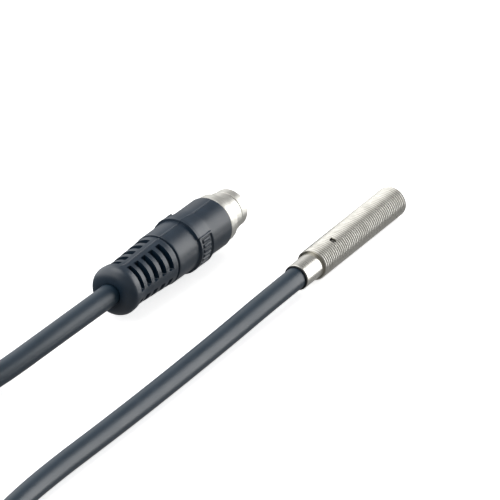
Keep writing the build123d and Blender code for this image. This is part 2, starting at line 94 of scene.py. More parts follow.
# Wiring of node trees
class Board:
    """A node tree that is being wired.

    Attributes:
        tree: The tree that the nodes go in.
    """

    def __init__(self, tree: NodeTree) -> None:
        """Takes the tree to wire."""
        self.tree = tree

    def add(self, kind: str, inputs: Inputs | None = None, **settings: object) -> Node:
        """Adds a node.

        Args:
            kind: The node's type.
            inputs: What its inputs are fed, by name or number.
            settings: Its properties, by name.

        Returns:
            The new node.
        """
        node = self.tree.nodes.new(kind)
        for name, value in settings.items():
            setattr(node, name, value)
        self.feed(node, inputs or {})
        return node

    def feed(self, node: Node, inputs: Inputs) -> None:
        """Links a node's inputs to outputs, or sets them to constants.

        Args:
            node: The node to feed.
            inputs: An output socket or a constant for each input, by name or number.
        """
        for key, value in inputs.items():
            if isinstance(value, NodeSocket):
                self.tree.links.new(value, node.inputs[key])
            else:
                node.inputs[key].default_value = value

    def math(self, operation: str, *values: Value, clamp: bool = False) -> NodeSocket:
        """Adds a Math node on the values, kept between 0 and 1 where clamp is set, and returns its output."""
        return self.add("ShaderNodeMath", dict(enumerate(values)), operation=operation, use_clamp=clamp).outputs[0]

    def noise(self, place: NodeSocket, scale: float, detail: float = 3.0) -> NodeSocket:
        """Adds a noise pattern of scale cells in one metre, and returns it; it is 0.5 on average."""
        return self.add("ShaderNodeTexNoise", {"Vector": place, "Scale": scale, "Detail": detail}).outputs["Fac"]

    def spread(self, value: Value, low: float, high: float, to_low: float, to_high: float) -> NodeSocket:
        """Maps the range from low to high to another one, smoothly and with its ends held, and returns the value."""
        ranges = dict(enumerate((value, low, high, to_low, to_high)))
        return self.add("ShaderNodeMapRange", ranges, interpolation_type="SMOOTHSTEP").outputs[0]

    def blend(self, amount: Value, first: Value, second: Value) -> NodeSocket:
        """Mixes two colours by the amount of the second that shows, and returns the mix."""
        return self.add("ShaderNodeMix", {0: amount, 6: first, 7: second}, data_type="RGBA").outputs[2]


# Finishes
@dataclass(frozen=True)
class Weave:
    """What a finish's pattern is made from.

    Attributes:
        board: The tree being wired.
        place: The object's own coordinates, turned to the piece's axis.
        fine: The fine noise.
        broad: The broad noise.
    """

    board: Board
    place: NodeSocket
    fine: NodeSocket
    broad: NodeSocket


@dataclass(frozen=True)
class Finish:
    """How one material looks, as numbers that its node material is built from.

    Attributes:
        slot: The record's material slot.
        colour: The main colour, linear.
        other: The colour that the pattern turns towards.
        roughness: The middle of the gloss.
        gloss_spread: How far the roughness strays.
        metallic: 1 on bare metal.
        grain: Cells of the fine pattern in one metre.
        mottle: Cells of the broad pattern in one metre.
        stretch: How dense the fine pattern is along each axis.
        relief: Height of the fine relief, in metres.
        coat: Weight of a clear coat.
        specular: Strength of the surface's own reflection; 0.5 is usual.
        heading: Turn of the pattern about the vertical, in radians.
    """

    slot: str
    colour: Colour
    other: Colour
    roughness: float
    gloss_spread: float = 0.06
    metallic: float = 0.0
    grain: float = 9000.0
    mottle: float = 500.0
    stretch: Corner = (1.0, 1.0, 1.0)
    relief: float = 3e-6
    coat: float = 0.0
    specular: float = 0.5
    heading: float = 0.0

    def pattern(self, weave: Weave) -> tuple[Value, Value]:
        """Says where the other colour shows and where the surface stands up.

        Args:
            weave: What the pattern is made from.

        Returns:
            The share of the other colour, and the relief's height from 0 to 1.
        """
        board = weave.board
        share = board.math("MULTIPLY_ADD", weave.broad, 0.7, board.math("MULTIPLY", weave.fine, 0.3))
        return board.spread(share, 0.35, 0.65, 0.0, 1.0), weave.fine

    def material(self) -> Material:
        """Builds the material once, and returns it."""
        name = f"{self.slot}_finish"
        ready = bpy.data.materials.get(name)
        if ready is not None:
            return ready
        material = bpy.data.materials.new(name)
        material.use_nodes = True
        board = Board(material.node_tree)
        coordinates = board.add("ShaderNodeTexCoord").outputs["Object"]
        heading = (0.0, 0.0, -self.heading)
        turned = board.add("ShaderNodeMapping", {"Vector": coordinates, "Rotation": heading}).outputs[0]
        stretched = board.add("ShaderNodeMapping", {"Vector": turned, "Scale": self.stretch}).outputs[0]
        fine, broad = board.noise(stretched, self.grain, 4.0), board.noise(turned, self.mottle)
        share, height = self.pattern(Weave(board, turned, fine, broad))
        gloss = board.math("MULTIPLY_ADD", fine, 0.5, board.math("MULTIPLY", broad, 0.5))
        low, high = self.roughness - self.gloss_spread, self.roughness + self.gloss_spread
        bump = board.add("ShaderNodeBump", {"Strength": 1.0, "Distance": self.relief, "Height": height})
        board.feed(material.node_tree.nodes["Principled BSDF"], {
            "Base Color": board.blend(share, (*self.colour, 1.0), (*self.other, 1.0)),
            "Roughness": board.spread(gloss, 0.3, 0.7, low, high),
            "Metallic": self.metallic,
            "Specular IOR Level": self.specular,
            "Coat Weight": self.coat,
            "Coat Roughness": 0.08,
            "Normal": bump.outputs[0],
        })
        return material


@dataclass(frozen=True)
class Moulded(Finish):
    """Moulded plastic or rubber: an even colour with a faint mottle, and a few pale specks of dust."""

    specks: float = 0.25

    def pattern(self, weave: Weave) -> tuple[Value, Value]:
        """Adds the specks to the mottle."""
        board = weave.board
        mottle = board.spread(weave.broad, 0.3, 0.7, 0.0, 0.7)
        dust = board.spread(board.noise(weave.place, self.grain * 0.35, 1.0), 0.74, 0.82, 0.0, self.specks)
        return board.math("ADD", mottle, dust, clamp=True), weave.fine


@dataclass(frozen=True)
class Turned(Finish):
    """Metal from the lathe: fine rings about the axis, and a slight tarnish in patches."""

    def pattern(self, weave: Weave) -> tuple[Value, Value]:
        """Mixes the turning rings with the tarnish."""
        rings = weave.board.spread(weave.fine, 0.35, 0.65, 0.0, 0.45)
        tarnish = weave.board.spread(weave.broad, 0.45, 0.75, 0.0, 0.55)
        return weave.board.math("ADD", rings, tarnish, clamp=True), weave.fine


@dataclass(frozen=True)
class Grooved(Turned):
    """Turned metal with grooves or a thread, with painted shade darkening their roots.

    Attributes:
        bore: Radius below which the metal is plain again, without the painted shade.
        root: Radius of the roots, where the painted shade is full, in metres.
        crest: Radius from which no painted shade is laid, in metres.
        axis_at: A point on the axis, in metres.
    """

    bore: float = 2.07 * MM
    root: float = 2.23 * MM
    crest: float = 2.46 * MM
    axis_at: Corner = (0.0, 0.0, 0.0)

    def pattern(self, weave: Weave) -> tuple[Value, Value]:
        """Adds the painted shade at the roots to the turning rings."""
        board = weave.board
        share, height = super().pattern(weave)
        shift = Matrix.Rotation(-self.heading, 3, "Z") @ Vector(self.axis_at)
        spot = board.add("ShaderNodeSeparateXYZ", {0: weave.place}).outputs
        across = board.math("SUBTRACT", spot[1], shift.y)
        upward = board.math("SUBTRACT", spot[2], shift.z)
        square = board.math("MULTIPLY_ADD", across, across, board.math("MULTIPLY", upward, upward))
        radius = board.math("SQRT", square)
        outside = board.spread(radius, self.bore - 0.01 * MM, self.bore + 0.01 * MM, 0.0, 1.0)
        # painted shade: between root and crest the colour turns to the dark other colour, standing in for shade in
        # the thread and groove roots
        painted_groove_shade = board.math("MULTIPLY", outside, board.spread(radius, self.root, self.crest, 1.0, 0.0))
        return board.math("MULTIPLY_ADD", share, 0.35, painted_groove_shade, clamp=True), height


@dataclass(frozen=True)
class Laminate(Finish):
    """Circuit board: solder mask with tracks in the other colour."""

    pitch: float = 0.8 * MM

    def pattern(self, weave: Weave) -> tuple[Value, Value]:
        """Draws bent tracks at a set pitch, slightly raised."""
        board = weave.board
        bands = {"Vector": weave.place, "Scale": 0.32 / self.pitch, "Distortion": 1.2}
        wave = board.add("ShaderNodeTexWave", bands, bands_direction="Y")
        tracks = board.spread(wave.outputs["Fac"], 0.72, 0.8, 0.0, 0.8)
        return tracks, board.math("MULTIPLY_ADD", tracks, 0.8, board.math("MULTIPLY", weave.fine, 0.2))


@dataclass(frozen=True)
class Wound(Finish):
    """Enamelled wire in turns about the axis."""

    wire: float = 0.08 * MM

    def pattern(self, weave: Weave) -> tuple[Value, Value]:
        """Draws the turns, with painted shade in the crevices between them."""
        board = weave.board
        bands = {"Vector": weave.place, "Scale": 0.314 / self.wire, "Distortion": 0.3}
        wave = board.add("ShaderNodeTexWave", bands, bands_direction="X")
        # painted shade: the dark other colour fills the crevices between wire turns
        gap = board.spread(wave.outputs["Fac"], 0.0, 0.35, 1.0, 0.0)
        return board.math("MULTIPLY_ADD", weave.broad, 0.25, gap, clamp=True), wave.outputs["Fac"]


PLUG_HEADING = math.atan2(-0.038388, 0.999263)
RINGS = (1.0, 0.03, 0.03)

# the other colour serves the turning rings and tarnish patches, and the painted shade in the thread roots
BARREL_METAL = Grooved(
    "barrel_metal", (0.82, 0.805, 0.75), (0.36, 0.345, 0.30), 0.30, 0.05, 1.0, 16000.0, 700.0, RINGS, 0.15e-6,
)
# the dark other colour serves the turning rings and tarnish patches, and the painted shade in the shell's grooves
SHELL_METAL = Grooved(
    "shell_metal", (0.86, 0.85, 0.80), (0.20, 0.18, 0.15), 0.40, 0.05, 1.0, 14000.0, 600.0, RINGS, 0.15e-6,
    heading=PLUG_HEADING, bore=2.85 * MM, root=2.97 * MM, crest=3.05 * MM, axis_at=(-0.035117, 0.018995, 0.00208),
)
CONTACT_GOLD = Turned(
    "contact_gold", (0.90, 0.66, 0.26), (0.78, 0.53, 0.20), 0.2, 0.06, 1.0, 12000.0, 900.0, RINGS, 0.4e-6,
    heading=PLUG_HEADING,
)
FERRULE_METAL = Turned(
    "ferrule_metal", (0.66, 0.50, 0.26), (0.50, 0.37, 0.18), 0.34, 0.08, 1.0, 9000.0, 900.0, RINGS, 1e-6,
    heading=PLUG_HEADING,
)
SOLDER = Finish("solder", (0.62, 0.62, 0.64), (0.45, 0.45, 0.47), 0.3, 0.1, 1.0, 5000.0, 1500.0, relief=4e-6)
CABLE_SHEATH = Moulded(
    "cable_sheath", (0.009, 0.027, 0.047), (0.015, 0.035, 0.058), 0.40, 0.05,
    grain=14000.0, mottle=260.0, relief=2.2e-6, specular=0.75, specks=0.35,
)
GRIP_MOULD = Moulded(
    "grip_mould", (0.002, 0.015, 0.033), (0.005, 0.023, 0.046), 0.37,
    grain=11000.0, mottle=420.0, specular=0.8, specks=0.5, heading=PLUG_HEADING,
)
SEAL_RUBBER = Moulded("seal_rubber", (0.006, 0.007, 0.009), (0.012, 0.013, 0.015), 0.48, relief=2e-6)
FACE_PLASTIC = Moulded("face_plastic", (0.72, 0.70, 0.64), (0.62, 0.60, 0.54), 0.42, grain=8000.0, specks=0.3)
CARRIER_PLASTIC = Moulded(
    "carrier_plastic", (0.020, 0.021, 0.024), (0.035, 0.036, 0.040), 0.45, grain=8000.0, heading=PLUG_HEADING,
)
CORE_PLASTIC = Moulded(
    "core_plastic", (0.018, 0.018, 0.020), (0.032, 0.032, 0.034), 0.5, 0.08,
    grain=7000.0, relief=4e-6, heading=PLUG_HEADING,
)
LIGHT_GUIDE = Moulded(
    "light_guide", (0.050, 0.047, 0.042), (0.085, 0.080, 0.072), 0.16, 0.04,
    grain=5000.0, mottle=1500.0, relief=0.6e-6, coat=0.6, specks=0.2,
)
LAMP_LENS = Moulded(
    "lamp_lens", (0.82, 0.62, 0.12), (0.60, 0.42, 0.06), 0.2, 0.05, grain=6000.0, relief=1e-6, coat=0.4,
)
BOARD_LAMINATE = Laminate(
    "board_laminate", (0.012, 0.12, 0.035), (0.05, 0.25, 0.07), 0.35, 0.08, grain=7000.0, relief=12e-6,
)
CHIP_BODY = Moulded(
    "chip_body", (0.022, 0.022, 0.024), (0.040, 0.040, 0.042), 0.6, 0.08, grain=16000.0, relief=4e-6,
)
CHIP_CERAMIC = Finish("chip_ceramic", (0.36, 0.26, 0.16), (0.52, 0.50, 0.47), 0.45, 0.1, mottle=2600.0)
FERRITE = Finish(
    "ferrite", (0.035, 0.035, 0.038), (0.060, 0.060, 0.062), 0.7, 0.08, grain=12000.0, mottle=2500.0, relief=6e-6,
)
BOBBIN_PLASTIC = Moulded("bobbin_plastic", (0.60, 0.56, 0.48), (0.50, 0.46, 0.38), 0.45)
# the other colour is the painted shade in the crevices between turns, and a broad tone
WINDING_COPPER = Wound("winding_copper", (0.62, 0.24, 0.08), (0.16, 0.05, 0.02), 0.3, 0.08, 0.9, relief=12e-6)
POTTING_RESIN = Moulded(
    "potting_resin", (0.012, 0.012, 0.014), (0.024, 0.024, 0.026), 0.22, 0.08,
    grain=3000.0, mottle=900.0, relief=6e-6,
)
CORE_FINISH = {
    Core.BROWN: Moulded("wire_brown", (0.085, 0.032, 0.012), (0.11, 0.045, 0.02), 0.42),
    Core.BLUE: Moulded("wire_blue", (0.010, 0.045, 0.24), (0.02, 0.07, 0.30), 0.42),
    Core.BLACK: Moulded("wire_black", (0.010, 0.010, 0.011), (0.022, 0.022, 0.023), 0.42),
}


# Meshes
def rounded_outline(corners: Sequence[Corner], steps: int = 4) -> list[tuple[float, float]]:
    """Rounds the corners of a closed outline, and adds points near the ends of long runs to keep them flat.

    Args:
        corners: Points as (along, radius, rounding), in order round the outline.
        steps: Pieces in each rounding.

    Returns:
        The outline's points as (along, radius).
    """
    points: list[tuple[float, float]] = []
    count = len(corners)
    for index, (along, radius, rounding) in enumerate(corners):
        here = np.array((along, radius))
        if rounding <= 0:
            points.append((along, radius))
            continue
        ends = []
        for other in (corners[index - 1], corners[(index + 1) % count]):
            away = np.array(other[:2]) - here
            reach = float(np.hypot(*away))
            ends.append(here + away / reach * min(rounding, reach * 0.48))
        for step in range(steps + 1):
            share = step / steps
            spot = (1 - share) ** 2 * ends[0] + 2 * share * (1 - share) * here + share**2 * ends[1]
            points.append((float(spot[0]), float(spot[1])))
    held: list[tuple[float, float]] = []
    for start, end in zip(points, points[1:] + points[:1]):
        held.append(start)
        run = math.dist(start, end)
        if run > 6 * HOLD and min(start[1], end[1]) > 0:
            for share in (HOLD / run, 1 - HOLD / run):
                held.append((start[0] + (end[0] - start[0]) * share, start[1] + (end[1] - start[1]) * share))
    return held


def rings_about_axis(outline: Sequence[tuple[float, float]], turns: np.ndarray) -> np.ndarray:
    """Turns an outline of (along, radius) about the X axis, to rows by columns by 3, from +Z towards -Y."""
    along, radius = (np.array(side)[:, None] for side in zip(*outline))
    return np.stack([along + 0 * turns, -radius * np.sin(turns), radius * np.cos(turns)], axis=2)


def mesh_of_rings(name: str, rows: np.ndarray, place: Matrix, closed: bool = True) -> Mesh:
    """Joins rings of points into a mesh, closed round each ring.

    Args:
        name: The mesh's name.
        rows: Points in millimetres, as rows by columns by 3.
        place: The move to the frame, in metres.
        closed: Whether the last ring joins the first.

    Returns:
        The mesh, with doubles merged and faces outwards where it is closed.
    """
    count, columns = rows.shape[:2]
    turn = np.array(place)
    points = rows.reshape(-1, 3) * MM @ turn[:3, :3].T + turn[:3, 3]
    row = np.arange(count if closed else count - 1)[:, None]
    column = np.arange(columns)[None, :]
    after, beside = (row + 1) % count, (column + 1) % columns
    quads = [row * columns + column, after * columns + column, after * columns + beside, row * columns + beside]
    mesh = bpy.data.meshes.new(name)
    mesh.from_pydata(points.tolist(), [], np.stack(quads, axis=2).reshape(-1, 4).tolist())
    tidy_mesh(mesh, outwards=closed)
    return mesh


def tidy_mesh(mesh: Mesh, outwards: bool = True) -> None:
    """Merges doubles and turns the faces outwards.

    Args:
        mesh: The mesh to mend.
        outwards: Whether the mesh is closed, so that its faces can be turned.
    """
    work = bmesh.new()
    work.from_mesh(mesh)
    bmesh.ops.remove_doubles(work, verts=work.verts, dist=2e-7)
    bmesh.ops.dissolve_degenerate(work, edges=work.edges, dist=1e-8)
    if outwards:
        bmesh.ops.recalc_face_normals(work, faces=work.faces)
        if work.calc_volume(signed=True) < 0:
            bmesh.ops.reverse_faces(work, faces=work.faces)
    work.to_mesh(mesh)
    work.free()


def add_object(name: str, data: ID) -> Object:
    """Makes an object and links it to the scene.

    Args:
        name: The object's name.
        data: Its mesh, curve, light or camera.

    Returns:
        The object.
    """
    made = bpy.data.objects.new(name, data)
    bpy.context.scene.collection.objects.link(made)
    return made


def add_piece(mesh: Mesh, finish: Finish, shading: Shading, *nodes: str) -> Object:
    """Makes a mesh a piece of the object, in place of CAD nodes.

    Args:
        mesh: The finished mesh, in the frame.
        finish: What it is dressed in.
        shading: Where its edges are sharp.
        nodes: The CAD nodes that it stands for.

    Returns:
        The piece.
    """
    piece = add_object(mesh.name, mesh)
    mesh.materials.clear()
    mesh.materials.append(finish.material())
    mesh.shade_smooth()
    mesh.set_sharp_from_angle(angle=math.radians(shading.value))
    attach(piece, "root")
    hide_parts(*nodes)
    LOG.info("%s stands for %s with %d faces", piece.name, ", ".join(nodes), len(mesh.polygons))
    return piece


def dress_node(node: str, finish: Finish) -> None:
    """Gives a CAD node that stays its finish.

    Args:
        node: The node's name.
        finish: What it is dressed in.
    """
    mesh = frame["nodes"][node].data
    mesh.materials.clear()
    mesh.materials.append(finish.material())
    LOG.info("%s keeps its shape and wears %s", node, finish.slot)


def full_turn(count: int) -> np.ndarray:
    """Returns even angles round a whole turn."""
    return np.arange(count) * (2 * math.pi / count)


def turned_piece(
    name: str, corners: Sequence[Corner], finish: Finish, *nodes: str, place: Matrix = Matrix(), columns: int = 96,
) -> Object:
    """Makes and returns a turned piece from its closed outline of (along, radius, rounding), in millimetres."""
    rows = rings_about_axis(rounded_outline(corners), full_turn(columns))
    return add_piece(mesh_of_rings(name, rows, place), finish, Shading.TURNED, *nodes)


# Camera, floor and light
@dataclass
class ProductCamera:
    """A long lens that looks down on the cable's side of the sensor.

    Attributes:
        azimuth: Where it stands about the vertical, in degrees.
        elevation: How high it stands, in degrees.
        aim: The point in the middle of the picture, in millimetres.
        distance: How far off it stands, in metres.
        lens: Focal length, in millimetres.
        sensor_width: Width of the film, in millimetres.
    """

    azimuth: float = -60.32
    elevation: float = 26.94
    aim: Corner = (-31.27, 7.16, 3.61)
    distance: float = 3.1527
    lens: float = 1500.0
    sensor_width: float = 36.0

    def build(self) -> Object:
        """Adds the camera and makes it the scene's own."""
        data = bpy.data.cameras.new("product_camera")
        data.lens = self.lens
        data.sensor_width = self.sensor_width
        data.clip_start, data.clip_end = 0.05, 60.0
        turn, rise = math.radians(self.azimuth), math.radians(self.elevation)
        back = Vector((math.sin(turn) * math.cos(rise), -math.cos(turn) * math.cos(rise), math.sin(rise)))
        camera = add_object("product_camera", data)
        camera.location = Vector(self.aim) * MM + back * self.distance
        camera.rotation_euler = (-back).to_track_quat("-Z", "Y").to_euler()
        bpy.context.scene.camera = camera
        return camera


@dataclass
class Softbox:
    """One rectangular soft light.

    Attributes:
        name: The light's name.
        towards: The direction from the sensor to the light.
        distance: How far off it is, in metres.
        width: Its width, in metres.
        height: Its height, in metres.
        radiance: How bright its face is.
    """

    name: str
    towards: Corner
    distance: float
    width: float
    height: float
    radiance: float

    def build(self, middle: Vector) -> None:
        """Hangs the light.

        Args:
            middle: The point that it faces.
        """
        data = bpy.data.lights.new(self.name, "AREA")
        data.shape = "RECTANGLE"
        data.size, data.size_y = self.width, self.height
        data.energy = self.radiance * math.pi * self.width * self.height
        direction = Vector(self.towards).normalized()
        light = add_object(self.name, data)
        light.location = middle + direction * self.distance
        light.rotation_euler = direction.to_track_quat("Z", "Y").to_euler()
        light.visible_camera = False


@dataclass
class Studio:
    """The pale floor and the soft light.

    Attributes:
        boxes: The soft lights.
        floor_size: Side of the floor, in metres.
        sky_tilt: The direction that the surroundings are brightest in.
        sky: Brightness of the surroundings, as (position, strength) from darkest side to brightest.
        below: Share of that brightness under the horizon, towards the front.
        below_behind: The same on the side that the sky is brightest.
        horizon_tilt: How far the horizon drops towards +X and rises towards -X.
        floor_gap: How far the floor lies under the lowest point, in metres.
        floor_glow: How much light the floor gives off by itself.
        floor_tones: The two greys that cloud the floor.
        cloud: Cells of that clouding in one metre.
        aim_part: The lights face a point one such part of the length back from the sensing face.
    """

    boxes: tuple[Softbox, ...] = (
        Softbox("side_softbox", (0.77, -0.58, 0.14), 0.6, 0.52, 0.58, 2.7),
        Softbox("top_softbox", (-0.1, 0.25, 1.0), 0.9, 0.7, 0.7, 1.2),
    )
    floor_size: float = 8.0
    sky_tilt: Corner = (-0.2, 0.89, 0.41)
    sky: tuple[tuple[float, float], ...] = (
        (0.15, 0.3), (0.4, 0.38), (0.6, 0.28), (0.7, 0.42), (0.79, 1.35), (1.0, 1.9),
    )
    below: float = 0.85
    below_behind: float = 0.12
    horizon_tilt: float = 0.35
    floor_gap: float = 0.02 * MM
    floor_glow: float = 0.7
    floor_tones: tuple[float, float] = (0.90, 0.93)
    cloud: float = 40.0
    aim_part: int = 6

    def build(self) -> None:
        """Builds the floor, the surroundings and the lights."""
        self.build_floor()
        self.build_sky()
        low, high = (Vector(corner) for corner in CAD_BOX)
        for box in self.boxes:
            box.build(Vector((low.x / self.aim_part, (low.y + high.y) / 2, 0.0)))

    def build_floor(self) -> None:
        """Lays the floor just under the lowest point, where only the camera sees it."""
        half, level = self.floor_size / 2, CAD_BOX[0][2] - self.floor_gap
        mesh = bpy.data.meshes.new("pale_floor")
        corners = [(x, y, level) for x, y in ((-half, -half), (half, -half), (half, half), (-half, half))]
        mesh.from_pydata(corners, [], [(0, 1, 2, 3)])
        floor = add_object("pale_floor", mesh)
        material = bpy.data.materials.new("pale_floor")
        material.use_nodes = True
        board = Board(material.node_tree)
        cloud = board.noise(board.add("ShaderNodeTexCoord").outputs["Object"], self.cloud)
        tones = ((tone, tone, tone, 1.0) for tone in self.floor_tones)
        board.feed(material.node_tree.nodes["Principled BSDF"], {
            "Base Color": board.blend(cloud, *tones),
            "Roughness": 0.9,
            "Emission Color": (1.0, 1.0, 1.0, 1.0),
            "Emission Strength": self.floor_glow,
        })
        mesh.materials.append(material)
        for ray in ("visible_glossy", "visible_diffuse", "visible_shadow"):
            setattr(floor, ray, False)

    def build_sky(self) -> None:
        """Wires the surroundings: bright behind and above the cable, dim towards the front and below."""
        world = bpy.data.worlds.new("studio_air")
        bpy.context.scene.world = world
        world.use_nodes = True
        board = Board(world.node_tree)
        direction = board.add("ShaderNodeTexCoord").outputs["Generated"]
        sides = {0: direction, 1: self.sky_tilt}
        lean = board.add("ShaderNodeVectorMath", sides, operation="DOT_PRODUCT").outputs["Value"]
        ramp = board.add("ShaderNodeValToRGB")
        stops = ramp.color_ramp.elements
        while len(stops) < len(self.sky):
            stops.new(0.5)
        for stop, (position, strength) in zip(stops, self.sky):
            stop.position = position
            stop.color = (strength, strength, strength, 1.0)
        board.feed(ramp, {0: board.math("MULTIPLY_ADD", lean, 0.5, 0.5)})
        parts = board.add("ShaderNodeSeparateXYZ", {0: direction}).outputs
        under = board.spread(lean, 0.0, 0.45, self.below, self.below_behind)
        rise = board.math("MULTIPLY_ADD", parts[0], self.horizon_tilt, parts[2])
        dim = board.spread(rise, -0.12, 0.04, under, 1.0)
        board.feed(world.node_tree.nodes["Background"], {"Color": ramp.outputs[0], "Strength": dim})


# The cable
@dataclass
class PigtailCable:
    """The sheathed cable, from the sensor's sleeve along the table to the plug.

    Attributes:
        diameter: Of the sheath.
        length: Of the whole cable, with its ends inside the sleeve and the plug; not used.
        route: The points that its line bends towards, in metres.
    """

    diameter: float = 3.5 * MM
    length: float = 0.26
    route: tuple[Corner, ...] = (
        (-0.0271, 0.0, 0.0),
        (-0.0380, 0.0, 0.0),
        (-0.0530, 0.00025, -0.00068),
        (-0.0800, 0.00025, -0.00075),
        (-0.1080, 0.0010, -0.00075),
        (-0.1237, -0.0007, -0.00075),
        (-0.1363, -0.0007, -0.00075),
        (-0.1465, 0.0067, -0.00075),
        (-0.1504, 0.0187, -0.00075),
        (-0.1465, 0.0307, -0.00075),
        (-0.1363, 0.0381, -0.00075),
        (-0.1237, 0.0381, -0.00075),
        (-0.1060, 0.0306, -0.00075),
        (-0.0870, 0.0239, -0.00075),
        (-0.060893, 0.019985, 0.00208),
        (-0.035117, 0.018995, 0.00208),
    )

    def build(self) -> Object:
        """Lays the cable as one smooth curve."""
        curve = bpy.data.curves.new("pigtail_cable", "CURVE")
        curve.dimensions = "3D"
        curve.resolution_u = 12
        curve.bevel_depth = self.diameter / 2
        curve.bevel_resolution = 9
        curve.use_fill_caps = True
        spline = curve.splines.new("NURBS")
        spline.points.add(len(self.route) - 1)
        for point, spot in zip(spline.points, self.route):
            point.co = (*spot, 1.0)
        spline.order_u = 3
        spline.use_endpoint_u = True
        spline.use_smooth = True
        curve.materials.append(CABLE_SHEATH.material())
        cable = add_object("pigtail_cable", curve)
        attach(cable, "root")
        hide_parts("cable")
        LOG.info("pigtail_cable stands for cable")
        return cable


